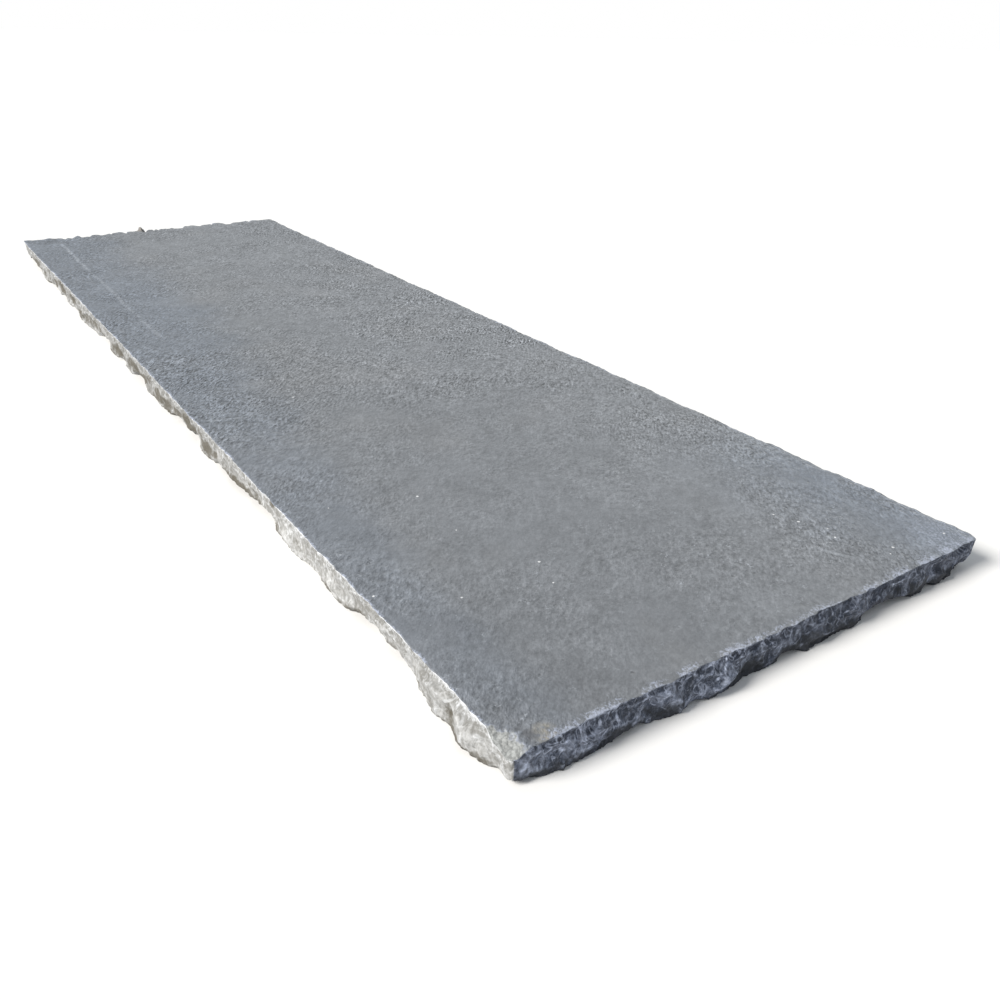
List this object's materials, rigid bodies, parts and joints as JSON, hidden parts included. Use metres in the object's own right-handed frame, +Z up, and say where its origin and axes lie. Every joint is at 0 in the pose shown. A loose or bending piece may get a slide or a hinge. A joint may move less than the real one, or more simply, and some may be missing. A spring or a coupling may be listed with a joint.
{
  "type": "stone hearth slab",
  "caption": "Long flat hearth slab of dark blue limestone with a riven top and four rough hand-dressed edges, to lie on a level hearth or bench.",
  "frame": {"origin": "middle of the flat underside that the slab lies on", "axes": "+X along the slab towards its near end, +Y across it towards the back long edge, +Z up through its thickness"},
  "size_m": [1.5071, 0.4602, 0.0352],
  "materials": {
    "limestone": "riven and hand-dressed, matt"
  },
  "bodies": {
    "root": {"hearth_slab": "limestone"}
  },
  "joints": []
}
